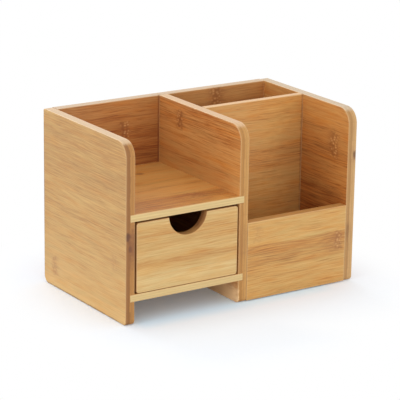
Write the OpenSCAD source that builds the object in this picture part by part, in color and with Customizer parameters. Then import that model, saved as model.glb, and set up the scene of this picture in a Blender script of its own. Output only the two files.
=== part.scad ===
// Bamboo desk organizer: an open tray over a drawer on the left, a pen bay and a rear slot on the right.
// The origin is the centre of the footprint, at table height: +X to the right, the open front to -Y, +Z up.

/* [Overall] */
// Width over both side panels
body_w = 240; // [220:1:300]
// Depth from the panels' front edges to the back
body_d = 140; // [125:1:200]
// Height of the panels
body_h = 160; // [130:1:220]

/* [Boards] */
// Thickness of the two side panels
side_t = 9; // [8:0.5:12]
// Thickness of the upright between the drawer bay and the pen bay
divider_t = 9; // [8:0.5:12]
// Thickness of the back panel
back_t = 9; // [7:0.5:12]
// Thickness of the low board in front of the pen bay
front_board_t = 9; // [7:0.5:12]
// Thickness of the board between the pen bay and the rear slot
cross_t = 6.5; // [6:0.5:10]
// Thickness of the shelf over the drawer
shelf_t = 6.5; // [5:0.5:9]
// Thickness of the floor that the drawer runs on
bay_floor_t = 6.5; // [5:0.5:9]
// Thickness of the floor under the pen bay and the rear slot
pen_floor_t = 6; // [4:0.5:8]

/* [Layout] */
// Clear width of the drawer bay
drawer_bay_w = 106; // [88:0.5:128]
// Clear height of the drawer bay
drawer_bay_h = 64; // [50:0.5:78]
// Open gap between the table and the drawer bay's floor
foot_gap = 20.5; // [16:0.5:28]
// Clear depth of the pen bay, behind its front board
pen_bay_d = 60.5; // [45:0.5:75]
// Height of the low front board's top
front_board_h = 72; // [60:1:90]
// Gap between the table and the front board
front_board_gap = 1; // [0:0.5:2]
// Gap between the table and the pen bay's floor
pen_floor_gap = 4; // [3:0.5:8]

/* [Edges and joints] */
// Radius of the panels' front top corners
top_r = 14; // [6:1:24]
// Radius of the panels' front corners at the table
foot_r = 4; // [3:0.5:10]
// Radius of the panels' rear corners at the table, and of the back's lower edge
rear_foot_r = 6.5; // [3:0.5:6.5]
// Radius of the panels' rear top corners
rear_r = 2; // [1.8:0.1:6]
// Rounding of the edges that a hand meets
ease = 0.7; // [0.4:0.1:1.6]
// Rounding of the drawer walls' top edges
wall_ease = 0.7; // [0.4:0.1:1.5]
// How far the shelf and the drawer bay's floor are let into the uprights
housing = 4.5; // [3:0.5:5]
// How far the pen bay's floor is let in all round
groove = 3; // [2:0.5:4]

/* [Dowels] */
// Diameter of the dowels in the thicker boards
dowel_d = 5; // [4:0.5:6]
// Diameter of the dowels in the cross divider
cross_dowel_d = 4; // [3:0.5:4]
// Depth of a dowel hole in a board's face
face_bore = 5.5; // [4:0.5:6]
// Depth of a dowel hole in a board's end
end_bore = 14; // [10:1:20]
// Room between a dowel and its hole, on the radius
dowel_room = 0.05; // [0.02:0.01:0.1]
// Room at each end of a dowel
dowel_end_room = 0.5; // [0.3:0.1:1]
// Distance of the outer back dowels from the panel's ends
dowel_margin = 24; // [15:1:35]

/* [Drawer] */
// Thickness of the drawer's front
drawer_front_t = 8; // [7:0.5:10]
// Thickness of the drawer's sides and back
drawer_wall_t = 6; // [5:0.5:8]
// Thickness of the drawer's bottom
drawer_bottom_t = 3; // [2:0.5:4]
// How far the drawer's sides stop below its front's top edge
drawer_side_drop = 8.7; // [2:0.1:20]
// How far the bottom lies above the sides' lower edges
bottom_inset = 4; // [3:0.5:8]
// Depth of the drawer's rabbets for the sides, in the front
front_rabbet = 4; // [3:0.5:5]
// Depth of the grooves for the bottom and of the rabbets for the back
drawer_groove = 3; // [2:0.5:3.5]
// Gap at each side of the drawer
drawer_side_gap = 1.7; // [0.6:0.05:2]
// Gap between the drawer's front and the shelf
drawer_top_gap = 1.5; // [0.8:0.1:3]
// Gap between the drawer's front and the bay's floor
drawer_foot_gap = 0.4; // [0.3:0.1:2]
// Gap between the drawer's sides and the floor that they run on
drawer_run_gap = 0.3; // [0.2:0.05:0.6]
// Gap behind the closed drawer
drawer_rear_gap = 4; // [2:0.5:10]
// Radius of the drawer front's corners
drawer_corner_r = 2.5; // [1.8:0.1:6]
// Radius of the finger notch
notch_r = 19; // [12:0.5:24]
// Height of the notch's centre above the front's top edge
notch_lift = 1.5; // [0:0.5:6]

/* [Hidden] */
$fn = 64;
over = 1;

// Faces of the carcass, from the outside in
front_y = -body_d / 2;
rear_y = body_d / 2;
left_x = -body_w / 2;
right_x = body_w / 2;
left_in = left_x + side_t;
right_in = right_x - side_t;
divider_x0 = left_in + drawer_bay_w;
divider_x1 = divider_x0 + divider_t;
divider_mid = (divider_x0 + divider_x1) / 2;
back_in = rear_y - back_t;
pen_bay_y = front_y + front_board_t;
pen_bay_w = right_in - divider_x1;
cross_y = pen_bay_y + pen_bay_d;
cross_mid = cross_y + cross_t / 2;

// Levels of the boards
bay_floor_top = foot_gap + bay_floor_t;
shelf_z = bay_floor_top + drawer_bay_h;
shelf_top = shelf_z + shelf_t;
pen_floor_top = pen_floor_gap + pen_floor_t;

// Levels of the dowels, clear of the housings in the middle divider
upright_dowel_z = [(bay_floor_top + shelf_z) / 2, (shelf_top + body_h) / 2];
front_dowel_z = [bay_floor_top + dowel_d, front_board_h - 2 * dowel_d];
back_dowel_z = [dowel_margin, body_h / 2, body_h - dowel_margin];

// The drawer's box
drawer_mid = left_in + drawer_bay_w / 2;
drawer_w = drawer_bay_w - 2 * drawer_side_gap;
drawer_z = bay_floor_top + drawer_run_gap;
drawer_front_z = bay_floor_top + drawer_foot_gap;
drawer_front_h = shelf_z - drawer_top_gap - drawer_front_z;
drawer_side_top = drawer_front_z + drawer_front_h - drawer_side_drop;
drawer_box_y = front_y + drawer_front_t;
drawer_rear = back_in - drawer_rear_gap;
drawer_side_len = drawer_rear - drawer_box_y + front_rabbet;
drawer_bottom_z = drawer_z + bottom_inset;
drawer_back_y = drawer_rear - drawer_wall_t;
drawer_back_z = drawer_bottom_z + drawer_bottom_t;
drawer_let_in = drawer_w - 2 * (drawer_wall_t - drawer_groove);

panel_color = "#c9975c";
board_color = "#d7ab6d";
inner_color = "#b9824a";
dowel_color = "#e6cb98";

// A quarter of a disc, with its square corner on the origin.
module quarter_disc(r) {
    intersection() {
        circle(r);
        square(r);
    }
}

// Profile of a board's edge: width along X, thickness along Y, the outer corners rounded.
module edge_profile(width, thick, round_r, both = true) {
    flat_from = both ? round_r - thick / 2 : -thick / 2;
    translate([0, -thick / 2]) square([width - round_r, thick]);
    translate([width - round_r, flat_from]) square([round_r, thick / 2 - round_r - flat_from]);
    translate([width - round_r, thick / 2 - round_r]) quarter_disc(round_r);
    if (both) translate([width - round_r, flat_from]) mirror([0, 1]) quarter_disc(round_r);
}

// One quarter of a flat plate, from its middle to one corner, with the rounding carried round the corner.
module plate_quarter(a, b, corner_r, thick, round_r, both) {
    rotate([90, 0, 90]) linear_extrude(a - corner_r) edge_profile(b, thick, round_r, both);
    translate([a - corner_r, b - corner_r, 0]) {
        rotate_extrude(angle = 90) edge_profile(corner_r, thick, round_r, both);
        rotate([90, 0, 0]) linear_extrude(b - corner_r) edge_profile(corner_r, thick, round_r, both);
    }
}

// A flat plate centred on the origin; radii run from the corner at +X +Y to -X +Y, -X -Y and +X -Y.
module eased_plate(width, height, thick, radii, round_r, both = true) {
    a = width / 2;
    b = height / 2;
    plate_quarter(a, b, radii[0], thick, round_r, both);
    mirror([1, 0, 0]) plate_quarter(a, b, radii[1], thick, round_r, both);
    mirror([1, 0, 0]) mirror([0, 1, 0]) plate_quarter(a, b, radii[2], thick, round_r, both);
    mirror([0, 1, 0]) plate_quarter(a, b, radii[3], thick, round_r, both);
}

// A full-size upright at x, its front top corner rounded large.
module upright(x, thick) {
    translate([x, 0, body_h / 2]) rotate([90, 0, 90])
        eased_plate(body_d, body_h, thick, [rear_r, top_r, foot_r, rear_foot_r], ease);
}

// A level board between two x values and two y values, with its front edge rounded.
module level_board(x0, x1, y0, y1, z0, thick) {
    translate([(x0 + x1) / 2, y1, z0 + thick / 2]) rotate([90, 0, -90])
        linear_extrude(x1 - x0, center = true) edge_profile(y1 - y0, thick, ease);
}

// A standing board between two x values, with its top edge rounded.
module standing_board(x0, x1, y0, thick, z0, z1, round_r = ease) {
    translate([(x0 + x1) / 2, y0 + thick / 2, z0]) rotate([0, -90, 0])
        linear_extrude(x1 - x0, center = true) edge_profile(z1 - z0, thick, round_r);
}

// The room that a level board takes in the uprights: it runs out at the front.
module housing_room(z0, thick) {
    translate([left_in - housing, front_y - over, z0])
        cube([drawer_bay_w + 2 * housing, back_in - front_y + over, thick]);
}

// The pen bay's floor, let in on all four sides.
module pen_floor_block() {
    translate([divider_x1 - groove, pen_bay_y - groove, pen_floor_gap])
        cube([pen_bay_w + 2 * groove, back_in - pen_bay_y + 2 * groove, pen_floor_t]);
}

// A dowel along +X with chamfered ends, from x = 0.
module dowel(diameter, length) {
    r = diameter / 2;
    tip_r = r - diameter / 10;
    shoulder = length - r + tip_r;
    outline = [[0, 0], [tip_r, 0], [r, r - tip_r], [r, shoulder], [tip_r, length], [0, length]];
    rotate([0, 90, 0]) rotate_extrude() polygon(outline);
}

// The hole for a dowel that starts at x = 0 and runs along +X.
module dowel_hole(diameter, depth) {
    rotate([0, 90, 0]) cylinder(h = depth, r = diameter / 2 + dowel_room);
}

// Holes on both sides of a joint in the plane x = 0: the board's end lies to +X, the other's face to -X.
module joint_holes(diameter) {
    translate([-face_bore, 0, 0]) dowel_hole(diameter, face_bore + end_bore);
}

// The dowel that fills those holes, with its room at each end.
module joint_dowel(diameter) {
    length = face_bore + end_bore - 2 * dowel_end_room;
    translate([dowel_end_room - face_bore, 0, 0]) dowel(diameter, length);
}

// Places for the dowels of a board that stands between two uprights: one set at each end.
module at_board_ends(x0, x1, y, levels) {
    for (z = levels) {
        translate([x0, y, z]) children();
        translate([x1, y, z]) mirror([1, 0, 0]) children();
    }
}

module at_back_ends() {
    at_board_ends(left_in, right_in, (back_in + rear_y) / 2, back_dowel_z) children();
}

module at_front_board_ends() {
    at_board_ends(divider_x1, right_in, (front_y + pen_bay_y) / 2, front_dowel_z) children();
}

module at_cross_ends() {
    at_board_ends(divider_x1, right_in, cross_mid, upright_dowel_z) children();
}

module at_divider_end() {
    for (z = upright_dowel_z) translate([divider_mid, back_in, z]) rotate([0, 0, -90]) children();
}

module left_side_panel() {
    color(panel_color) difference() {
        upright(left_x + side_t / 2, side_t);
        housing_room(foot_gap, bay_floor_t);
        housing_room(shelf_z, shelf_t);
        at_back_ends() joint_holes(dowel_d);
    }
}

module middle_divider() {
    color(panel_color) difference() {
        upright(divider_mid, divider_t);
        translate([divider_x0 - over, back_in, -over])
            cube([divider_t + 2 * over, back_t + over, body_h + 2 * over]);
        housing_room(foot_gap, bay_floor_t);
        housing_room(shelf_z, shelf_t);
        pen_floor_block();
        at_divider_end() joint_holes(dowel_d);
        at_front_board_ends() joint_holes(dowel_d);
        at_cross_ends() joint_holes(cross_dowel_d);
    }
}

module right_side_panel() {
    color(panel_color) difference() {
        upright(right_x - side_t / 2, side_t);
        pen_floor_block();
        at_back_ends() joint_holes(dowel_d);
        at_front_board_ends() joint_holes(dowel_d);
        at_cross_ends() joint_holes(cross_dowel_d);
    }
}

// Profile of the back panel: height along X, its lower rear corner rounded in line with the uprights'.
module back_profile() {
    translate([rear_foot_r, 0]) edge_profile(body_h - rear_foot_r, back_t, ease);
    translate([0, -back_t / 2]) square([rear_foot_r, back_t - rear_foot_r]);
    translate([rear_foot_r, back_t / 2 - rear_foot_r]) mirror([1, 0]) quarter_disc(rear_foot_r);
}

module back_panel() {
    color(inner_color) difference() {
        translate([(left_in + right_in) / 2, (back_in + rear_y) / 2, 0]) rotate([0, -90, 0])
            linear_extrude(right_in - left_in, center = true) back_profile();
        pen_floor_block();
        at_back_ends() joint_holes(dowel_d);
        at_divider_end() joint_holes(dowel_d);
    }
}

// A board of the drawer bay, its ends let into the left panel and the middle divider.
module bay_board(z0, thick) {
    level_board(left_in - housing, divider_x0 + housing, front_y, back_in, z0, thick);
}

module shelf() {
    color(board_color) bay_board(shelf_z, shelf_t);
}

module drawer_bay_floor() {
    color(board_color) bay_board(foot_gap, bay_floor_t);
}

module cross_divider() {
    color(inner_color) difference() {
        standing_board(divider_x1, right_in, cross_y, cross_t, pen_floor_top, body_h);
        at_cross_ends() joint_holes(cross_dowel_d);
    }
}

module front_board() {
    color(board_color) difference() {
        standing_board(divider_x1, right_in, front_y, front_board_t, front_board_gap, front_board_h);
        pen_floor_block();
        at_front_board_ends() joint_holes(dowel_d);
    }
}

module pen_bay_floor() {
    color(inner_color) pen_floor_block();
}

module back_panel_dowels() {
    color(dowel_color) at_back_ends() joint_dowel(dowel_d);
}

module divider_dowels() {
    color(dowel_color) at_divider_end() joint_dowel(dowel_d);
}

module front_board_dowels() {
    color(dowel_color) at_front_board_ends() joint_dowel(dowel_d);
}

module cross_divider_dowels() {
    color(dowel_color) at_cross_ends() joint_dowel(cross_dowel_d);
}

// The drawer's bottom, let into its front and sides and run out under its back.
module drawer_bottom_block() {
    translate([drawer_mid - drawer_let_in / 2, drawer_box_y - drawer_groove, drawer_bottom_z])
        cube([drawer_let_in, drawer_rear - drawer_box_y + drawer_groove, drawer_bottom_t]);
}

// The rabbets at the sides' rear ends: they run out at the top and behind.
module drawer_back_room() {
    translate([drawer_mid - drawer_let_in / 2, drawer_back_y, drawer_back_z])
        cube([drawer_let_in, drawer_wall_t + over, drawer_side_top - drawer_back_z + over]);
}

// What the finger notch takes away, from the front face at z = 0 to behind the board, its rim rounded.
module notch_tool() {
    translate([0, 0, -over]) cylinder(h = drawer_front_t + 2 * over, r = notch_r, $fn = 96);
    rotate_extrude($fn = 96) difference() {
        translate([0, -over]) square([notch_r + ease, ease + over]);
        translate([notch_r + ease, ease]) circle(ease);
        translate([notch_r, -2 * over]) square([2 * ease, 2 * over]);
    }
}

// The rabbet at one end of the front, where a side laps in; side is -1 for the left and 1 for the right.
module front_rabbet_room(side) {
    low_x = side < 0 ? drawer_mid - drawer_w / 2 - over : drawer_mid + drawer_w / 2 - drawer_wall_t;
    translate([low_x, drawer_box_y - front_rabbet, drawer_front_z - over])
        cube([drawer_wall_t + over, front_rabbet + over, drawer_front_h + 2 * over]);
}

module drawer_front() {
    radii = [for (i = [0:3]) drawer_corner_r];
    mid_z = drawer_front_z + drawer_front_h / 2;
    notch_z = drawer_front_z + drawer_front_h + notch_lift;
    color(board_color) difference() {
        translate([drawer_mid, front_y + drawer_front_t / 2, mid_z]) rotate([90, 0, 0])
            eased_plate(drawer_w, drawer_front_h, drawer_front_t, radii, ease, false);
        translate([drawer_mid, front_y, notch_z]) rotate([-90, 0, 0]) notch_tool();
        front_rabbet_room(-1);
        front_rabbet_room(1);
        drawer_bottom_block();
    }
}

// One side of the drawer; side is -1 for the left and 1 for the right.
module drawer_side(side) {
    centre_x = drawer_mid + side * (drawer_w - drawer_wall_t) / 2;
    difference() {
        translate([centre_x, drawer_rear - drawer_side_len / 2, 0]) rotate([0, 0, 90])
            standing_board(-drawer_side_len / 2, drawer_side_len / 2, -drawer_wall_t / 2, drawer_wall_t,
                drawer_z, drawer_side_top, wall_ease);
        drawer_bottom_block();
        drawer_back_room();
    }
}

module drawer_left_side() {
    color(inner_color) drawer_side(-1);
}

module drawer_right_side() {
    color(inner_color) drawer_side(1);
}

// The back stands on the bottom, its ends let into the sides.
module drawer_back() {
    color(inner_color) translate([drawer_mid, 0, 0])
        standing_board(-drawer_let_in / 2, drawer_let_in / 2, drawer_back_y, drawer_wall_t,
            drawer_back_z, drawer_side_top, wall_ease);
}

module drawer_bottom() {
    color(inner_color) drawer_bottom_block();
}

left_side_panel();
middle_divider();
right_side_panel();
back_panel();
shelf();
drawer_bay_floor();
cross_divider();
front_board();
pen_bay_floor();
back_panel_dowels();
divider_dowels();
front_board_dowels();
cross_divider_dowels();
drawer_front();
drawer_left_side();
drawer_right_side();
drawer_back();
drawer_bottom();
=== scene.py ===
"""Bamboo desk organizer: the finish of its boards, a floor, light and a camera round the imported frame."""

from collections import namedtuple

import bpy
from mathutils import Matrix, Vector


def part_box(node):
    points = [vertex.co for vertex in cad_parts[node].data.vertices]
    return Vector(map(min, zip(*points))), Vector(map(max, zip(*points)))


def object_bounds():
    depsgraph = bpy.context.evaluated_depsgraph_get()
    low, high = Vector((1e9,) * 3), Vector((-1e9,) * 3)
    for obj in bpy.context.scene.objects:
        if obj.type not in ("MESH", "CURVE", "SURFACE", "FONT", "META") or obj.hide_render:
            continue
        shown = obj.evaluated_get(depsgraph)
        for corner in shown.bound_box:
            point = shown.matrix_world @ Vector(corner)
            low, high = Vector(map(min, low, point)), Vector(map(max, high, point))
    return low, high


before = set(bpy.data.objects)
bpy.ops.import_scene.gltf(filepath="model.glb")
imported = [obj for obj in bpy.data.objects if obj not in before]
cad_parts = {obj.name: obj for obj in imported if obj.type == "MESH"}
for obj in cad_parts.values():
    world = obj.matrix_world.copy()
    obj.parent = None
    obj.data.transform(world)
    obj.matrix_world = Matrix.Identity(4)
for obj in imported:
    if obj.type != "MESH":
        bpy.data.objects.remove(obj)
frame_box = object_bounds()

MM = 1000.0  # millimetres in a metre
WHITE = (1.0, 1.0, 1.0, 1.0)
AXES = {"x": Vector((1, 0, 0)), "y": Vector((0, 1, 0)), "z": Vector((0, 0, 1))}


# Colours and wiring

def shade(red, green, blue):
    """A colour named by its 0 to 255 screen values, as the linear colour that a socket holds."""
    parts = [c / 255 for c in (red, green, blue)]
    linear = [p / 12.92 if p <= 0.04045 else ((p + 0.055) / 1.055) ** 2.4 for p in parts]
    return (*linear, 1.0)


class Wiring:
    """Places nodes in one tree and joins them. A value is a number, a tuple or another node's socket."""

    def __init__(self, tree):
        self.tree = tree

    def put(self, socket, value):
        if isinstance(value, bpy.types.NodeSocket):
            self.tree.links.new(value, socket)
        elif value is not None:
            socket.default_value = value

    def node(self, kind, values=None, **settings):
        made = self.tree.nodes.new("ShaderNode" + kind)
        for name, value in settings.items():
            setattr(made, name, value)
        for key, value in (values or {}).items():
            self.put(made.inputs[key], value)
        return made

    def math(self, operation, a, b=None, c=None, clamp=False):
        made = self.node("Math", operation=operation, use_clamp=clamp)
        for socket, value in zip(made.inputs, (a, b, c)):
            self.put(socket, value)
        return made.outputs[0]

    def product(self, *factors):
        total = factors[0]
        for factor in factors[1:]:
            total = self.math("MULTIPLY", total, factor)
        return total

    def vector(self, operation, a, b=None):
        made = self.node("VectorMath", operation=operation)
        self.put(made.inputs[0], a)
        self.put(made.inputs[1], b)
        return made.outputs[0]

    def length(self, a):
        made = self.node("VectorMath", operation="LENGTH")
        self.put(made.inputs[0], a)
        return made.outputs["Value"]

    def split(self, vector):
        return self.node("SeparateXYZ", {0: vector}).outputs

    def join(self, x, y, z):
        return self.node("CombineXYZ", {0: x, 1: y, 2: z}).outputs[0]

    def span(self, value, low, high, start=0.0, end=1.0, smooth=True):
        """value taken from the range low to high into the range start to end, held at both ends."""
        kind = "SMOOTHSTEP" if smooth else "LINEAR"
        made = self.node("MapRange", {0: value, 1: low, 2: high, 3: start, 4: end}, interpolation_type=kind)
        return made.outputs[0]

    def noise(self, vector, stretch, detail=2.0, roughness=0.5, distortion=0.0):
        """Noise of about 0 to 1 on a vector that is first stretched by one factor for each axis."""
        place = self.vector("MULTIPLY", vector, stretch)
        made = self.node("TexNoise", {"Vector": place, "Scale": 1.0, "Detail": detail,
                                      "Roughness": roughness, "Distortion": distortion})
        return made.outputs[0]

    def mix(self, factor, a, b, blend="MIX"):
        made = self.node("Mix", data_type="RGBA", blend_type=blend, clamp_factor=True)
        self.put(made.inputs[0], factor)
        self.put(made.inputs[6], a)
        self.put(made.inputs[7], b)
        return made.outputs[2]

    def steps(self, place, stops, soft):
        """A tone that changes at each stop of place: at once, or softly from one stop to the next."""
        first, last = stops[0][0], stops[-1][0]
        made = self.node("ValToRGB", {0: self.span(place, first, last, smooth=False)})
        ramp = made.color_ramp
        ramp.interpolation = "EASE" if soft else "CONSTANT"
        for number, (stop, tone) in enumerate(stops):
            position = (stop - first) / (last - first)
            if number < 2:
                element = ramp.elements[number]
                element.position = position
            else:
                element = ramp.elements.new(position)
            element.color = (tone, tone, tone, 1.0)
        return made.outputs[0]

    def group(self, tree, values):
        made = self.node("Group", node_tree=tree)
        for name, value in values.items():
            self.put(made.inputs[name], value)
        return made.outputs


def group_tree(name, inputs, outputs):
    """An empty node group with named sockets, its wiring, its inputs and its output node."""
    tree = bpy.data.node_groups.new(name, "ShaderNodeTree")
    for label, kind, value in inputs:
        socket = tree.interface.new_socket(name=label, in_out="INPUT", socket_type="NodeSocket" + kind)
        if value is not None:
            socket.default_value = value
    for label, kind in outputs:
        tree.interface.new_socket(name=label, in_out="OUTPUT", socket_type="NodeSocket" + kind)
    wires = Wiring(tree)
    taken = tree.nodes.new("NodeGroupInput").outputs
    given = tree.nodes.new("NodeGroupOutput").inputs
    return tree, wires, taken, given


# Shared groups: every vector is in millimetres, X with the grain, Y across the strips, Z through the board

PLIES = 3.0
PLY_INSET = 0.98  # keeps a board's faces in their own plies
GLUE_LINE = (0.05, 0.35)  # millimetres from a joint: full up to the first, gone at the second
PLY_LINE = (0.08, 0.45)
STRIP_SHIFT = (900.0, 60.0, 300.0)  # millimetres that a strip's grain is moved at most
KNUCKLE_PITCH = 250.0  # millimetres of strip from one growth ring to the next
LOT_SPREAD = 7.0  # makes a strip's lot, whether it shows its rings, out of its chance value


def make_strip_layup():
    """Strips side by side in three plies. Each has a tone and a place of its own, and its growth rings."""
    tree, w, taken, given = group_tree(
        "strip_layup",
        [("Vector", "Vector", None), ("Strip Width", "Float", 17.0), ("Thickness", "Float", 9.0),
         ("Seed", "Float", 0.0), ("Knuckle Share", "Float", 0.25)],
        [("Tone", "Float"), ("Joint", "Float"), ("Ply Line", "Float"), ("Vector", "Vector"),
         ("Knuckle Along", "Float"), ("Knuckle Across", "Float"), ("Knuckle Shown", "Float")])
    along, across, through = w.split(taken["Vector"])
    place = w.math("DIVIDE", across, taken["Strip Width"])
    strip = w.math("FLOOR", place)
    part = w.math("SUBTRACT", w.math("SUBTRACT", place, strip), 0.5)
    ply = w.math("DIVIDE", w.math("MULTIPLY", through, PLIES), taken["Thickness"])
    layer = w.math("ROUND", w.math("MULTIPLY", ply, PLY_INSET))
    key = w.join(strip, layer, taken["Seed"])
    chance = w.node("TexWhiteNoise", {"Vector": key}, noise_dimensions="3D").outputs
    first, second, third = w.split(chance[1])
    w.put(given["Tone"], first)
    edge = w.math("MULTIPLY", w.math("SUBTRACT", 0.5, w.math("ABSOLUTE", part)), taken["Strip Width"])
    w.put(given["Joint"], w.span(edge, *GLUE_LINE, 1.0, 0.0))
    seam = w.math("SUBTRACT", w.math("ABSOLUTE", ply), 0.5)
    seam = w.math("MULTIPLY", w.math("ABSOLUTE", seam), w.math("DIVIDE", taken["Thickness"], PLIES))
    w.put(given["Ply Line"], w.span(seam, *PLY_LINE, 1.0, 0.0))
    shift = w.vector("MULTIPLY", w.join(chance[0], second, third), STRIP_SHIFT)
    w.put(given["Vector"], w.vector("ADD", taken["Vector"], shift))
    # one growth ring to a pitch, shown on a share of the strips
    turn = w.math("DIVIDE", w.math("ADD", along, w.math("MULTIPLY", third, KNUCKLE_PITCH)), KNUCKLE_PITCH)
    turn = w.math("SUBTRACT", w.math("FRACT", turn), 0.5)
    w.put(given["Knuckle Along"], w.math("MULTIPLY", turn, KNUCKLE_PITCH))
    w.put(given["Knuckle Across"], w.math("MULTIPLY", part, taken["Strip Width"]))
    lot = w.math("FRACT", w.math("MULTIPLY", chance[0], LOT_SPREAD))
    w.put(given["Knuckle Shown"], w.math("LESS_THAN", lot, taken["Knuckle Share"]))
    return tree


# Noise steps to a millimetre: with the grain, across it and through the board
DRIFT_STEPS = (0.02, 0.04, 0.04)
FIBRE_STEPS = (0.05, 1.9, 1.3)
FLECK_STEPS = (0.05, 1.05, 1.05)
STREAK_STEPS = (0.028, 1.1, 1.1)
WASH_STEPS = (0.014, 0.1, 0.1)
HUE_STEPS = (0.022, 0.15, 0.15)
GRAIN_SWAY = (0.0, 4.0, 0.0)  # millimetres from side to side
FLECK_RANGE = (0.5, 0.68)  # of the noise: no fleck, a full one


def make_bamboo_streaks():
    """Fibres, dark flecks, streaks, broad washes and a slow turn of the hue, all running with the grain."""
    tree, w, taken, given = group_tree(
        "bamboo_streaks", [("Vector", "Vector", None)],
        [("Fibre", "Float"), ("Fleck", "Float"), ("Streak", "Float"), ("Wash", "Float"), ("Hue", "Float")])
    drift = w.math("SUBTRACT", w.noise(taken["Vector"], DRIFT_STEPS, 1.0), 0.5)
    sway = w.vector("MULTIPLY", w.join(drift, drift, drift), GRAIN_SWAY)
    bent = w.vector("ADD", taken["Vector"], sway)
    w.put(given["Fibre"], w.noise(bent, FIBRE_STEPS, 3.0, 0.6))
    w.put(given["Fleck"], w.span(w.noise(bent, FLECK_STEPS, 2.0, 0.55), *FLECK_RANGE))
    w.put(given["Streak"], w.noise(bent, STREAK_STEPS, 3.0, 0.6))
    w.put(given["Wash"], w.noise(bent, WASH_STEPS, 2.0, 0.5))
    w.put(given["Hue"], w.noise(bent, HUE_STEPS, 3.0, 0.6))
    return tree


BEND_STEPS = (0.05, 0.2, 0.2)
TORN_STEPS = (0.22, 0.5, 0.5)
LICK_STEPS = (0.06, 0.6, 0.6)
EYE_STEPS = (0.3, 0.4, 0.4)
RING_BEND = 8.0  # millimetres of strip within which a growth ring strays
RING_TEAR = 0.9  # how ragged it is along the strip, and across it
SIDE_TEAR = 0.3
RING_SIDE = (0.36, 0.54)  # share of its height from its middle: full up to the first, gone at the second
RING_CORE = (0.35, 0.85)  # the same in ring widths from its line
RING_AURA = (0.3, 1.3)
FLAME_RISE = (-0.05, 0.08)  # flame lengths from the ring's line: none at the first, full from the second
FLAME_FALL = (0.1, 1.0)  # full up to the first, gone at the second
LICK_RANGE = (0.42, 0.6)  # of the noise: no lick of flame, a full one
PALE_EYE = (0.15, 0.42)  # distance from an eye's middle: full up to the first, gone at the second
DARK_RIM = (0.42, 0.66)  # none at the first, full from the second
FLAME_DARK = 0.6


def make_bamboo_knuckle():
    """A growth ring of the stalk, cut flat: a ragged column of pale eyes with warm dark rims over the height
    of one strip, a halo round them, and a flame of darker grain that runs off from it along the strip."""
    tree, w, taken, given = group_tree(
        "bamboo_knuckle",
        [("Vector", "Vector", None), ("Along", "Float", 0.0), ("Across", "Float", 0.0),
         ("Width", "Float", 8.0), ("Height", "Float", 17.0), ("Flame", "Float", 14.0)],
        [("Halo", "Float"), ("Dark", "Float"), ("Pale", "Float")])
    bend = w.math("SUBTRACT", w.noise(taken["Vector"], BEND_STEPS, 1.0), 0.5)
    along = w.math("MULTIPLY_ADD", bend, RING_BEND, taken["Along"])
    torn = w.math("SUBTRACT", w.noise(taken["Vector"], TORN_STEPS, 2.0), 0.5)
    reach = w.math("DIVIDE", w.math("ABSOLUTE", along), taken["Width"])
    reach = w.math("MULTIPLY_ADD", torn, RING_TEAR, reach)
    inside = w.math("DIVIDE", w.math("ABSOLUTE", taken["Across"]), taken["Height"])
    strip = w.span(w.math("MULTIPLY_ADD", torn, SIDE_TEAR, inside), *RING_SIDE, 1.0, 0.0)
    run = w.math("DIVIDE", along, taken["Flame"])
    run = w.math("MULTIPLY", w.span(run, *FLAME_RISE), w.span(run, *FLAME_FALL, 1.0, 0.0))
    lick = w.span(w.noise(taken["Vector"], LICK_STEPS, 2.0, 0.6), *LICK_RANGE)
    flame = w.product(run, lick, strip)
    halo = w.math("MULTIPLY", w.span(reach, *RING_AURA, 1.0, 0.0), strip)
    w.put(given["Halo"], w.math("MAXIMUM", halo, flame))
    core = w.math("MULTIPLY", w.span(reach, *RING_CORE, 1.0, 0.0), strip)
    place = w.vector("MULTIPLY", taken["Vector"], EYE_STEPS)
    eye = w.node("TexVoronoi", {"Vector": place, "Scale": 1.0, "Randomness": 0.8}).outputs[0]
    w.put(given["Pale"], w.math("MULTIPLY", w.span(eye, *PALE_EYE, 1.0, 0.0), core))
    dark = w.math("MULTIPLY", w.span(eye, *DARK_RIM), core)
    w.put(given["Dark"], w.math("MAXIMUM", dark, w.math("MULTIPLY", flame, FLAME_DARK)))
    return tree


BUNDLE_STEPS = (0.02, 1.35, 1.35)
STAIN_STEPS = (0.02, 0.06, 0.25)
BUNDLE_POINT = (0.12, 0.42)  # distance from a bundle's middle: full up to the first, gone at the second


def make_bamboo_ends():
    """Cut ends: dark points where the fibre bundles stand, and slow staining along the edge."""
    tree, w, taken, given = group_tree(
        "bamboo_ends", [("Vector", "Vector", None)], [("Points", "Float"), ("StainOrPaintedLight", "Float")])
    place = w.vector("MULTIPLY", taken["Vector"], BUNDLE_STEPS)
    cells = w.node("TexVoronoi", {"Vector": place, "Scale": 1.0, "Randomness": 0.85}).outputs[0]
    w.put(given["Points"], w.span(cells, *BUNDLE_POINT, 1.0, 0.0))
    w.put(given["StainOrPaintedLight"], w.noise(taken["Vector"], STAIN_STEPS, 3.0, 0.55))
    return tree


SMALL_ROUND = 0.5  # millimetres


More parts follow.
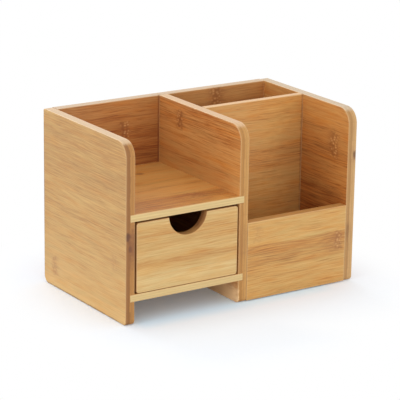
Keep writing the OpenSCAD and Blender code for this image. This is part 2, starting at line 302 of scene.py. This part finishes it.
def make_arris():
    """Nearness to a board's sanded arrises: one at the rim, nought from Width on. Round is what the front top
    corner's radius has over the small ones."""
    tree, w, taken, given = group_tree(
        "sanded_arris",
        [("Vector", "Vector", None), ("Half Size", "Vector", (50.0, 50.0, 5.0)), ("Round", "Float", 0.0),
         ("Width", "Float", 1.3)],
        [("Mask", "Float")])
    along, across, through = w.split(taken["Vector"])
    half_along, half_across, half_through = w.split(taken["Half Size"])
    corner = w.math("MULTIPLY", w.math("LESS_THAN", along, 0.0), w.math("GREATER_THAN", across, 0.0))
    radius = w.math("MULTIPLY_ADD", corner, taken["Round"], SMALL_ROUND)
    over_along = w.math("ADD", w.math("SUBTRACT", w.math("ABSOLUTE", along), half_along), radius)
    over_across = w.math("ADD", w.math("SUBTRACT", w.math("ABSOLUTE", across), half_across), radius)
    past = w.length(w.join(w.math("MAXIMUM", over_along, 0.0), w.math("MAXIMUM", over_across, 0.0), 0.0))
    within = w.math("MINIMUM", w.math("MAXIMUM", over_along, over_across), 0.0)
    rim = w.math("SUBTRACT", radius, w.math("ADD", past, within))
    face = w.math("SUBTRACT", half_through, w.math("ABSOLUTE", through))
    w.put(given["Mask"], w.span(w.math("MAXIMUM", rim, face), 0.0, taken["Width"], 1.0, 0.0))
    return tree


strip_layup = make_strip_layup()
bamboo_streaks = make_bamboo_streaks()
bamboo_knuckle = make_bamboo_knuckle()
bamboo_ends = make_bamboo_ends()
sanded_arris = make_arris()

RING_BROWN = (0.21, 0.062, 0.016, 1.0)
RING_HALO = (0.38, 0.13, 0.034, 1.0)
RING_PALE = (0.66, 0.38, 0.15, 1.0)
GLUE_BROWN = (0.15, 0.055, 0.018, 1.0)
FIBRE_BROWN = (0.16, 0.065, 0.025, 1.0)
WARM_TURN = (1.0, 0.8, 0.5, 1.0)
COOL_TURN = (0.9, 0.97, 1.0, 1.0)
WARM_RANGE = (0.48, 0.72)  # of the hue noise: no turn, the full one
COOL_RANGE = (0.48, 0.28)
STRAY_RING = {"halo": 0.4, "pale": 0.4, "dark": 0.45}
END_TURN = (0.4, 0.7)  # share of the normal along the grain: none of the cut end's look, all of it
EDGE_TURN = (0.5, 0.86)  # the same across the strips, for a long edge
EDGE_DEPTH = 0.1  # share of the deep colour on a long edge, and how far the streaks change it
EDGE_STREAK = 0.6
END_STAIN = 3.0  # a cut end's tone: by its stain, by millimetres through the board and by strip
END_LEAN = 0.7
END_STRIP = 0.4
END_RANGE = (-0.8, 0.6)  # of that tone: the end's first ply colour, its pale one
END_POINTS = 0.2
PLY_ON_END = 0.28  # darkness of the glue lines
PLY_ON_EDGE = 0.12
JOINT_ON_FACE = 0.12
SATIN = 0.36  # roughness of the lacquer, and what streaks, cut ends and fibres add to it
STREAK_ROUGH = 0.1
END_ROUGH = 0.14
FIBRE_ROUGH = 0.08
RELIEF = {"Fibre": 0.5, "Fleck": -0.3, "Pits": -0.5, "Points": -0.6, "Joint": -1.5}


def paint_ring(w, colour, ring, shown, halo, pale, dark):
    """Lays a growth ring on a colour where shown is one, with three strengths. Also gives its dark parts."""
    colour = w.mix(w.product(ring["Halo"], shown, halo), colour, RING_HALO)
    colour = w.mix(w.product(ring["Pale"], shown, pale), colour, RING_PALE)
    pits = w.math("MULTIPLY", ring["Dark"], shown)
    return w.mix(w.math("MULTIPLY", pits, dark), colour, RING_BROWN), pits


def make_pressed_bamboo():
    """A pressed board's finish: strips, streaks, glue lines, stray growth rings, long edges and cut ends.
    Rear Side is 1 or -1, for the face that takes the stray rings and the Rear Tone."""
    tree, w, taken, given = group_tree(
        "pressed_bamboo",
        [("Vector", "Vector", None), ("Normal", "Vector", None),
         ("Strip Width", "Float", 17.0), ("Thickness", "Float", 9.0), ("Seed", "Float", 0.0),
         ("Knuckle Share", "Float", 0.25), ("Rear Side", "Float", 1.0), ("Rear Tone", "Float", 0.0),
         ("Band Tone", "Float", 0.5), ("Strip Contrast", "Float", 0.08), ("Wash Contrast", "Float", 0.4),
         ("Streak Contrast", "Float", 1.35), ("Fleck Contrast", "Float", 0.22),
         ("Fibre Contrast", "Float", 0.95), ("Hue Contrast", "Float", 0.85),
         ("Pale", "Color", shade(228, 192, 140)), ("Middle", "Color", shade(203, 158, 98)),
         ("Deep", "Color", shade(160, 103, 52)), ("Edge", "Color", shade(226, 196, 152)),
         ("End", "Color", shade(176, 122, 74)), ("End Pale", "Color", shade(196, 150, 100))],
        [("Color", "Color"), ("Roughness", "Float"), ("Height", "Float")])
    shared = ("Vector", "Strip Width", "Thickness", "Seed", "Knuckle Share")
    strips = w.group(strip_layup, {name: taken[name] for name in shared})
    grain = w.group(bamboo_streaks, {"Vector": strips["Vector"]})
    through = w.split(taken["Vector"])[2]
    rear = w.math("GREATER_THAN", w.math("MULTIPLY", through, taken["Rear Side"]), 1.0)
    tone = w.math("MULTIPLY_ADD", rear, taken["Rear Tone"], taken["Band Tone"])
    tones = {"Strip": strips["Tone"]} | {name: grain[name] for name in ("Wash", "Streak", "Fibre")}
    for name, value in tones.items():
        tone = w.math("MULTIPLY_ADD", w.math("SUBTRACT", value, 0.5), taken[name + " Contrast"], tone)
    tone = w.math("SUBTRACT", tone, w.math("MULTIPLY", grain["Fleck"], taken["Fleck Contrast"]))
    low = w.span(tone, 0.0, 0.5, smooth=False)
    high = w.span(tone, 0.5, 1.0, smooth=False)
    colour = w.mix(high, w.mix(low, taken["Deep"], taken["Middle"]), taken["Pale"])
    warm = w.math("MULTIPLY", w.span(grain["Hue"], *WARM_RANGE, smooth=False), taken["Hue Contrast"])
    cool = w.math("MULTIPLY", w.span(grain["Hue"], *COOL_RANGE, smooth=False), taken["Hue Contrast"])
    colour = w.mix(warm, colour, WARM_TURN, "MULTIPLY")
    colour = w.mix(cool, colour, COOL_TURN, "MULTIPLY")

    ring = w.group(bamboo_knuckle, {"Vector": strips["Vector"], "Along": strips["Knuckle Along"],
                                    "Across": strips["Knuckle Across"], "Height": taken["Strip Width"]})
    shown = w.math("MULTIPLY", strips["Knuckle Shown"], rear)
    colour, pits = paint_ring(w, colour, ring, shown, **STRAY_RING)

    facing = w.split(taken["Normal"])
    cut = w.span(w.math("ABSOLUTE", facing[0]), *END_TURN)
    side = w.span(w.math("ABSOLUTE", facing[1]), *EDGE_TURN)
    fine = w.math("MULTIPLY", w.math("SUBTRACT", grain["Streak"], 0.5), EDGE_STREAK)
    edge_colour = w.mix(w.math("SUBTRACT", EDGE_DEPTH, fine, clamp=True), taken["Edge"], taken["Deep"])
    colour = w.mix(side, colour, edge_colour)
    ends = w.group(bamboo_ends, {"Vector": strips["Vector"]})
    stain = w.math("SUBTRACT", ends["StainOrPaintedLight"], 0.5)
    ply = w.math("MULTIPLY_ADD", stain, END_STAIN, w.math("MULTIPLY", through, END_LEAN))
    ply = w.math("MULTIPLY_ADD", w.math("SUBTRACT", strips["Tone"], 0.5), END_STRIP, ply)
    end_colour = w.mix(w.span(ply, *END_RANGE), taken["End"], taken["End Pale"])
    end_colour = w.mix(w.math("MULTIPLY", ends["Points"], END_POINTS), end_colour, FIBRE_BROWN)
    colour = w.mix(cut, colour, end_colour)

    plies = w.math("MULTIPLY_ADD", cut, PLY_ON_END, w.math("MULTIPLY", side, PLY_ON_EDGE))
    line = w.math("MULTIPLY", strips["Ply Line"], plies)
    joint = w.math("MULTIPLY", strips["Joint"], w.span(side, 0.0, 1.0, JOINT_ON_FACE, 0.0))
    colour = w.mix(w.math("MAXIMUM", joint, line), colour, GLUE_BROWN)
    w.put(given["Color"], colour)

    rough = w.math("MULTIPLY_ADD", grain["Streak"], STREAK_ROUGH, SATIN)
    rough = w.math("MULTIPLY_ADD", cut, END_ROUGH, rough)
    w.put(given["Roughness"], w.math("MULTIPLY_ADD", grain["Fibre"], FIBRE_ROUGH, rough))
    # the fibres stand up, while flecks, pits, fibre points and glue lines lie low
    height = w.math("MULTIPLY", grain["Fibre"], RELIEF["Fibre"])
    height = w.math("MULTIPLY_ADD", grain["Fleck"], RELIEF["Fleck"], height)
    height = w.math("MULTIPLY_ADD", pits, RELIEF["Pits"], height)
    height = w.math("MULTIPLY_ADD", w.math("MULTIPLY", ends["Points"], cut), RELIEF["Points"], height)
    w.put(given["Height"], w.math("MULTIPLY_ADD", joint, RELIEF["Joint"], height))
    return tree


pressed_bamboo = make_pressed_bamboo()


# One material for each board

Knuckle = namedtuple("Knuckle", "point width height flame strength")
# a ragged patch of colour inside an ellipsoid: real stains and knots, and also painted light and shade
StainOrPaintedLight = namedtuple("StainOrPaintedLight", "point radii colour strength")

SANDED = (0.78, 0.56, 0.30, 1.0)
SANDED_SHARE = 0.3
BAND_STEPS = (0.016, 0.04, 0.04)
BAND_WANDER = 3.0  # millimetres from side to side that a soft band strays
FRAY_STEPS = (0.12, 0.3, 0.3)
STAIN_OR_LIGHT_FRAY = 0.8  # how ragged a patch's rim is, in its own radii; the patches are real stains and painted light and shade
STAIN_OR_LIGHT_RANGE = (0.35, 1.15)  # in its own radii: full up to the first, gone at the second
KNUCKLE_DEPTH = 1.5  # millimetres through the board, either way, within which a growth ring shows
KNUCKLE_GAP = 40.0  # millimetres of noise from one knuckle's pattern to the next, and through the board
KNUCKLE_LIFT = 7.0
KNUCKLE_RELIEF = -0.6
LACQUER = {"Coat Weight": 0.12, "Coat Roughness": 0.3}
GRAIN_BUMP = {"Strength": 0.5, "Distance": 0.00012}


def board_material(node, grain, across, bands=(), soft=False, knuckles=(), stains_and_painted_light=(), corner=0.0, **own):
    """Turns the board's place to the grain frame, lays the pressed bamboo on it and adds what this board has.
    Bands are places across the board, each with a tone. Places and sizes are in millimetres, and the points
    and radii of knuckles, of stains and of patches of painted light and shade are in the object's own frame."""
    low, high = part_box(node)
    centre = (low + high) / 2
    turn = Matrix((AXES[grain], AXES[across], AXES[grain].cross(AXES[across])))
    half = [abs(v) for v in turn @ ((high - low) / 2 * MM)]
    material = bpy.data.materials.new(node + "_bamboo")
    material.use_nodes = True
    material.node_tree.nodes.clear()
    w = Wiring(material.node_tree)
    spot = w.node("TexCoord").outputs
    euler = turn.to_euler("XYZ")
    place = w.node("Mapping", {"Vector": spot["Object"], "Location": turn @ centre * -MM,
                               "Rotation": euler, "Scale": (MM, MM, MM)}).outputs[0]
    facing = w.node("Mapping", {"Vector": spot["Normal"], "Rotation": euler}, vector_type="VECTOR").outputs[0]
    along, across_strips, through = w.split(place)
    if bands:
        middle = (turn @ centre * MM)[1]
        drift = w.math("SUBTRACT", w.noise(place, BAND_STEPS, 1.0), 0.5)
        waved = w.math("MULTIPLY_ADD", drift, BAND_WANDER if soft else 0.0, across_strips)
        own["Band Tone"] = w.steps(waved, [(stop - middle, tone) for stop, tone in bands], soft)
    board = w.group(pressed_bamboo, {"Vector": place, "Normal": facing, "Thickness": half[2] * 2, **own})
    colour = board["Color"]
    height = board["Height"]
    # real stains and knots, and patches of painted light and shade, each laid on the colour inside its ragged
    # ellipsoid
    for point, radii, stain_or_light_colour, strength in stains_and_painted_light:
        at = turn @ (Vector(point) - centre * MM)
        shrink = [1 / abs(r) for r in turn @ Vector(radii)]
        away = w.length(w.vector("MULTIPLY", w.vector("SUBTRACT", place, tuple(at)), tuple(shrink)))
        ragged = w.math("SUBTRACT", w.noise(place, FRAY_STEPS, 2.0), 0.5)
        away = w.math("MULTIPLY_ADD", ragged, STAIN_OR_LIGHT_FRAY, away)
        colour = w.mix(w.span(away, *STAIN_OR_LIGHT_RANGE, strength, 0.0), colour, stain_or_light_colour)
    for number, (point, width, tall, flame, strength) in enumerate(knuckles):
        at = turn @ (Vector(point) - centre * MM)
        near = w.math("LESS_THAN", w.math("ABSOLUTE", w.math("SUBTRACT", through, at[2])), KNUCKLE_DEPTH)
        ring = w.group(bamboo_knuckle, {
            "Vector": w.vector("ADD", place, (KNUCKLE_GAP * number, 0.0, KNUCKLE_LIFT)),
            "Along": w.math("SUBTRACT", along, at[0]), "Across": w.math("SUBTRACT", across_strips, at[1]),
            "Width": width, "Height": tall, "Flame": flame})
        colour, pits = paint_ring(
            w, colour, ring, near, halo=0.35 * strength, pale=0.6 * strength, dark=0.4 * strength)
        height = w.math("MULTIPLY_ADD", pits, KNUCKLE_RELIEF, height)
    arris = w.group(sanded_arris, {"Vector": place, "Half Size": half, "Round": corner})["Mask"]
    colour = w.mix(w.math("MULTIPLY", arris, SANDED_SHARE), colour, SANDED)
    bump = w.node("Bump", {"Height": height, **GRAIN_BUMP})
    skin = w.node("BsdfPrincipled", {"Base Color": colour, "Roughness": board["Roughness"],
                                     "Normal": bump.outputs[0], **LACQUER})
    w.node("OutputMaterial", {"Surface": skin.outputs[0]})
    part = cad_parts[node]
    part.data.materials.clear()
    part.data.materials.append(material)


# The boards, left to right and then those between them

# near-black brown: real knots on the front edges, and also painted shade lines along the left panel's bottom
# and rear edges
KNOT_AND_EDGE_SHADE = (0.10, 0.035, 0.015, 1.0)
# red-brown of real stains on the front edges and the shelf, also used for painted shade on the back panel and
# the cross divider
RED_BROWN = (0.21, 0.068, 0.022, 1.0)
# pale orange of painted light on the upper back of the right bay
PAINTED_SLOT_LIGHT = (0.72, 0.44, 0.18, 1.0)
# pale warm colour of painted light thrown up from the floor
PAINTED_BOUNCE_LIGHT = (0.98, 0.68, 0.36, 1.0)


def palette(pale, middle, deep, edge, end, end_pale):
    """A board's six colours by screen value: three of the face, the long edge and the end's two plies."""
    names = ("Pale", "Middle", "Deep", "Edge", "End", "End Pale")
    return {name: shade(*value) for name, value in zip(names, (pale, middle, deep, edge, end, end_pale))}


LEFT_PANEL = palette((212, 172, 108), (191, 148, 84), (150, 98, 41),
                     (224, 190, 147), (154, 103, 50), (184, 129, 64))
DIVIDER = palette((216, 162, 96), (202, 140, 77), (154, 88, 36),
                  (225, 185, 138), (186, 131, 64), (202, 150, 81))
RIGHT_PANEL = palette((208, 152, 84), (192, 127, 64), (134, 72, 28),
                      (214, 189, 154), (184, 137, 80), (206, 162, 104))
BACK = palette((204, 148, 84), (185, 120, 59), (124, 60, 22),
               (216, 185, 148), (150, 98, 50), (180, 128, 74))
SHELF = palette((222, 168, 94), (211, 148, 72), (156, 88, 36),
                (225, 197, 136), (166, 116, 60), (192, 144, 84))
CROSS = palette((224, 174, 102), (212, 152, 80), (148, 82, 36),
                (235, 191, 135), (166, 116, 60), (192, 144, 84))
FRONT = palette((218, 176, 106), (205, 153, 81), (168, 108, 48),
                (198, 146, 82), (166, 116, 60), (192, 144, 84))
DRAWER = palette((228, 198, 138), (208, 165, 99), (184, 122, 56),
                 (188, 138, 82), (150, 98, 54), (170, 120, 70))
HIDDEN = palette((206, 154, 94), (190, 132, 74), (150, 92, 44),
                 (212, 170, 112), (160, 108, 56), (186, 136, 78))

# the left panel's outer face is paler in steps towards the bottom: partly the strips' own tones, partly
# painted light from the floor
LEFT_BANDS = [(0, 1.0), (10, 0.8), (20, 0.7), (40, 0.6), (60, 0.5), (100, 0.5), (110, 0.4)]
DIVIDER_BANDS = [(0, 0.6), (97, 1.0), (109, 0.7), (112, 0.45), (115, 0.7), (134, 0.55), (140, 0.4)]
RIGHT_BANDS = [(72, 0.3), (86, 0.45), (104, 0.6), (110, 0.4), (115, 0.5), (130, 0.7), (134, 0.5), (142, 0.75)]
BACK_BANDS = [(97, 0.45), (116, 0.45), (121, 0.7), (124, 0.4), (128, 0.4), (140, 0.65), (146, 0.5),
              (149, 0.65)]
SHELF_BANDS = [(-70, 0.4), (-45, 0.3), (-35, 0.65), (-20, 0.75), (-12, 0.5), (-4, 0.85), (5, 0.5), (15, 0.8),
               (28, 0.9), (42, 0.7), (50, 1.0)]
# the cross divider is paler in its upper part and darker lower down: partly the strips' own tones, partly
# painted light and shade
CROSS_BANDS = [(88, 0.7), (96, 0.55), (112, 0.5), (122, 0.8), (134, 0.85), (144, 0.7)]
FRONT_BANDS = [(0, 0.65), (27.5, 0.4), (49.5, 0.75), (72, 0.75)]
DRAWER_BANDS = [(36, 0.8), (46, 0.6), (51, 0.3), (58, 0.6), (73, 0.45), (81, 0.45), (86, 0.6)]

PANEL_CORNER = 14.0  # millimetres, the round of the panels' front top corners
CALM = {"Streak Contrast": 0.85, "Fleck Contrast": 0.14, "Fibre Contrast": 0.65, "Hue Contrast": 0.6}
SEEN_IN_FRONT = {"Rear Side": -1.0}
PALE_BEHIND = {"Rear Tone": 0.3}

board_material(
    "left_side_panel", "y", "z", bands=LEFT_BANDS, soft=True, corner=PANEL_CORNER, Seed=1.0,
    knuckles=[Knuckle((-120, 50.9, 20.3), 6.0, 19.0, -10.0, 0.6),
              Knuckle((-120, -51.4, 51.0), 6.0, 17.0, 10.0, 0.25)],
    stains_and_painted_light=[StainOrPaintedLight((-117.8, -70, 78.7), (2.6, 2.5, 5.0), KNOT_AND_EDGE_SHADE, 0.9),
            StainOrPaintedLight((-115.7, -70, 67.8), (2.2, 2.5, 4.0), KNOT_AND_EDGE_SHADE, 0.7),
            StainOrPaintedLight((-112, -71, 70), (8.0, 3.0, 24.0), RED_BROWN, 0.7),
            # painted shade: thin dark lines along the outer face's bottom edge and rear edge, for the contact
            # shadow on the floor and the shaded arrises
            StainOrPaintedLight((-120, 0, 0), (3.0, 110.0, 1.9), KNOT_AND_EDGE_SHADE, 0.7),
            StainOrPaintedLight((-120, 70, 80), (3.0, 1.8, 120.0), KNOT_AND_EDGE_SHADE, 0.6)],
    **CALM, **LEFT_PANEL)
board_material(
    "middle_divider", "y", "z", bands=DIVIDER_BANDS, soft=True, corner=PANEL_CORNER, Seed=2.0,
    knuckles=[Knuckle((-5, 26.6, 145.0), 7.0, 20.0, -12.0, 1.2)],
    stains_and_painted_light=[StainOrPaintedLight((0, -71, 55), (8.0, 3.0, 20.0), RED_BROWN, 0.2),
            # painted light from the floor on the divider's low left face, under the drawer bay
            StainOrPaintedLight((-5, -20, 6), (2.0, 80.0, 15.0), PAINTED_BOUNCE_LIGHT, 0.9)],
    **DIVIDER)
board_material(
    "right_side_panel", "y", "z", bands=RIGHT_BANDS, soft=True, corner=PANEL_CORNER, Seed=3.0,
    knuckles=[Knuckle((111, -49.1, 123.1), 9.0, 26.0, 14.0, 1.1)],
    stains_and_painted_light=[StainOrPaintedLight((118.4, -70, 118), (2.4, 2.5, 4.5), KNOT_AND_EDGE_SHADE, 0.75),
            StainOrPaintedLight((113.3, -70, 48), (2.0, 2.5, 10.0), KNOT_AND_EDGE_SHADE, 0.3),
            StainOrPaintedLight((116, -71, 116), (7.0, 3.0, 11.0), RED_BROWN, 0.2),
            StainOrPaintedLight((116, -71, 44), (7.0, 3.0, 14.0), RED_BROWN, 0.12)],
    **PALE_BEHIND, **RIGHT_PANEL)
board_material(
    "back_panel", "x", "z", bands=BACK_BANDS, soft=True, Seed=4.0,
    knuckles=[Knuckle((-41.1, 61, 132.0), 7.0, 16.0, -20.0, 1.3),
              Knuckle((56.6, 61, 152.0), 9.0, 18.0, 16.0, 1.2)],
    # painted shadow of the divider on the back panel, darker on both sides near the divider
    stains_and_painted_light=[StainOrPaintedLight((-3, 61, 115), (40.0, 4.0, 60.0), RED_BROWN, 0.25),
            # a dark band in the corner by the divider: partly a dark joint line, partly painted corner shade
            StainOrPaintedLight((-5, 61, 128), (2.4, 3.0, 80.0), RED_BROWN, 0.7),
            # painted light on the upper back of the right bay
            StainOrPaintedLight((60, 61, 148), (80.0, 4.0, 34.0), PAINTED_SLOT_LIGHT, 0.22)],
    **PALE_BEHIND, **SEEN_IN_FRONT, **BACK)
board_material(
    "shelf", "x", "y", bands=SHELF_BANDS, soft=True, Seed=5.0,
    knuckles=[Knuckle((-35.5, -45.6, 97.5), 12.0, 18.0, -14.0, 0.7)],
    stains_and_painted_light=[StainOrPaintedLight((-42, 34.7, 97.5), (5.0, 4.0, 2.0), RED_BROWN, 0.6)],
    **SEEN_IN_FRONT, **SHELF)
board_material("drawer_bay_floor", "x", "y", Seed=6.0, **SEEN_IN_FRONT, **SHELF)
board_material(
    "cross_divider", "x", "z", bands=CROSS_BANDS, soft=True, Seed=7.0,
    # painted shadow of the right panel on the right part of the cross divider
    stains_and_painted_light=[StainOrPaintedLight((114, -0.5, 100), (48.0, 4.0, 70.0), RED_BROWN, 0.25),
            # a dark band in the corner by the right panel: partly a dark joint line, partly painted corner
            # shade
            StainOrPaintedLight((111, -0.5, 115), (2.6, 3.0, 80.0), RED_BROWN, 0.6)],
    **SEEN_IN_FRONT, **CROSS)
board_material(
    "front_board", "x", "z", bands=FRONT_BANDS, Seed=8.0,
    knuckles=[Knuckle((103.0, -70, 40.5), 5.0, 18.0, -24.0, 1.0),
              Knuckle((15.0, -70, 60.0), 7.0, 16.0, 10.0, 0.25)],
    **SEEN_IN_FRONT, **FRONT)
board_material(
    "drawer_front", "x", "z", bands=DRAWER_BANDS, soft=True, Seed=10.0, **CALM, **SEEN_IN_FRONT, **DRAWER)

# The hidden pieces: name, grain, direction across the strips, seed
HIDDEN_PIECES = [
    ("pen_bay_floor", "x", "y", 9.0), ("drawer_left_side", "y", "z", 11.0),
    ("drawer_right_side", "y", "z", 12.0), ("drawer_back", "x", "z", 13.0),
    ("drawer_bottom", "x", "y", 14.0), ("back_panel_dowels", "y", "z", 20.0),
    ("divider_dowels", "y", "z", 21.0), ("front_board_dowels", "y", "z", 22.0),
    ("cross_divider_dowels", "x", "z", 23.0)]
for piece, piece_grain, piece_across, piece_seed in HIDDEN_PIECES:
    board_material(piece, piece_grain, piece_across, Seed=piece_seed, **HIDDEN)


# What the camera sees, straight or by way of reflections and glass

def seen_rays(w, rays):
    """One for the rays that end in the picture, nought for those that only carry light."""
    seen = w.math("MAXIMUM", rays["Is Camera Ray"], rays["Is Glossy Ray"])
    return w.math("MAXIMUM", seen, rays["Is Transmission Ray"])


# Floor

FLOOR_REACH = 6.0  # metres to each side
FLOOR_DROP = 0.0001  # metres below the object
LEFT_TRIM = 0.02  # metres by which the shadow's outline is drawn in, as the photograph has it
RIGHT_TRIM = 0.04
FADE_START = 0.01  # metres past the outline
FADE_END = 0.11
DRAWER_TRAVEL = 0.1  # metres towards the front
PATH_START = 0.05  # metres past the outline that the drawer's path counts as, so that its shadow stays
TINT_END = 0.02  # metres past the outline
TINT_IN = (0.7, 0.87, 1.0, 1.0)
TINT_OUT = (0.89, 0.94, 1.0, 1.0)
LIT_FLOOR = (0.86, 0.86, 0.86, 1.0)
GLOW_IN = 0.09
GLOW_OUT = 0.065


def past_outline(w, spot, low, high):
    """How far a spot on the floor lies outside an outline from one corner to the other, in metres."""
    past = []
    for value, first, last in zip(w.split(spot), low, high):
        off = w.math("ABSOLUTE", w.math("SUBTRACT", value, (first + last) / 2))
        past.append(w.math("MAXIMUM", w.math("SUBTRACT", off, (last - first) / 2), 0.0))
    return w.length(w.join(*past, 0.0))


def make_floor():
    """A pale floor: it takes the object's shadow close by and is plain white to the camera further out.
    A cool tint in the shadow takes out the warm light that the boards throw there."""
    corners = [(-1, -1), (1, -1), (1, 1), (-1, 1)]
    mesh = bpy.data.meshes.new("studio_floor")
    mesh.from_pydata([(x * FLOOR_REACH, y * FLOOR_REACH, 0) for x, y in corners], [], [(0, 1, 2, 3)])
    floor = bpy.data.objects.new("studio_floor", mesh)
    floor.location.z = -FLOOR_DROP
    bpy.context.scene.collection.objects.link(floor)
    material = bpy.data.materials.new("studio_floor_white")
    material.use_nodes = True
    material.node_tree.nodes.clear()
    w = Wiring(material.node_tree)

    spot = w.node("TexCoord").outputs["Object"]
    low, high = frame_box
    drawer_low, drawer_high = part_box("drawer_front")
    foot = past_outline(w, spot, (low[0] + LEFT_TRIM, low[1]), (high[0] - RIGHT_TRIM, high[1]))
    path = past_outline(w, spot, (drawer_low[0], drawer_low[1] - DRAWER_TRAVEL), drawer_high[:2])
    away = w.math("MINIMUM", foot, w.math("ADD", path, PATH_START))
    out = w.span(foot, 0.0, TINT_END)

    bright = w.node("BsdfDiffuse", {"Color": w.mix(out, TINT_IN, TINT_OUT)}).outputs[0]
    lift = w.math("MULTIPLY_ADD", out, GLOW_OUT - GLOW_IN, GLOW_IN)
    glow = w.node("Emission", {"Color": WHITE, "Strength": lift}).outputs[0]
    shadowed = w.node("AddShader", {0: bright, 1: glow}).outputs[0]
    white = w.node("Emission", {"Color": WHITE, "Strength": 1.0}).outputs[0]
    near = w.node("MixShader", {0: w.span(away, FADE_START, FADE_END), 1: shadowed, 2: white}).outputs[0]
    matt = w.node("BsdfDiffuse", {"Color": LIT_FLOOR}).outputs[0]
    rays = w.node("LightPath").outputs
    shown = w.node("MixShader", {0: seen_rays(w, rays), 1: matt, 2: near}).outputs[0]
    clear = w.node("BsdfTransparent").outputs[0]
    below = w.math("MULTIPLY", w.node("NewGeometry").outputs["Backfacing"], rays["Is Camera Ray"])
    shown = w.node("MixShader", {0: below, 1: shown, 2: clear}).outputs[0]
    w.node("OutputMaterial", {"Surface": shown})
    mesh.materials.append(material)


make_floor()


# Light

SOFT_LIGHT = 0.83
AIM = Vector((0, 0, 0.08))  # the middle of the object


def make_world():
    """Soft light from all round for the object, and plain white for the camera and for reflections."""
    world = bpy.data.worlds.new("studio_world")
    bpy.context.scene.world = world
    world.use_nodes = True
    world.node_tree.nodes.clear()
    w = Wiring(world.node_tree)
    seen = seen_rays(w, w.node("LightPath").outputs)
    soft = w.node("Background", {"Color": WHITE, "Strength": SOFT_LIGHT}).outputs[0]
    white = w.node("Background", {"Color": WHITE, "Strength": 1.0}).outputs[0]
    w.node("OutputWorld", {"Surface": w.node("MixShader", {0: seen, 1: soft, 2: white}).outputs[0]})


def add_lamp(name, place, size, watts):
    """A square soft lamp at place that faces the middle of the object. Place and size are in metres."""
    lamp = bpy.data.lights.new(name, "AREA")
    lamp.size = size
    lamp.energy = watts
    holder = bpy.data.objects.new(name, lamp)
    holder.location = place
    holder.rotation_euler = (AIM - Vector(place)).to_track_quat("-Z", "Y").to_euler()
    bpy.context.scene.collection.objects.link(holder)


make_world()
add_lamp("overhead_softbox", (0.0, 0.0, 1.5), size=1.3, watts=0.9)
add_lamp("left_softbox", (-1.6, -0.3, 0.5), size=1.0, watts=7.7)
add_lamp("front_softbox", (0.2, -1.7, 0.5), size=1.0, watts=2.5)
add_lamp("front_left_softbox", (-1.0, -1.2, 1.2), size=1.0, watts=1.8)
add_lamp("right_softbox", (1.4, -0.8, 0.9), size=1.0, watts=0.6)
add_lamp("back_softbox", (0.0, 1.5, 1.0), size=1.0, watts=6.1)


# Camera, at the photograph's viewing angle

CAMERA_PLACE = (-0.96326, -1.44866, 0.59131)  # metres
CAMERA_RIGHT = Vector((0.83499, -0.55007, 0.01476))
CAMERA_UP = Vector((0.14451, 0.24508, 0.95867))
SENSOR_WIDTH = 36.0  # millimetres
FOCAL_LENGTH = 182.71


def make_camera():
    """Stands at the measured place. Its third axis points back from the view."""
    data = bpy.data.cameras.new("photo_camera")
    data.sensor_width = SENSOR_WIDTH
    data.lens = FOCAL_LENGTH
    camera = bpy.data.objects.new("photo_camera", data)
    turn = Matrix((CAMERA_RIGHT, CAMERA_UP, CAMERA_RIGHT.cross(CAMERA_UP))).transposed()
    camera.matrix_world = Matrix.Translation(CAMERA_PLACE) @ turn.to_4x4()
    bpy.context.scene.collection.objects.link(camera)
    bpy.context.scene.camera = camera


make_camera()
bpy.context.scene.view_settings.view_transform = "Standard"
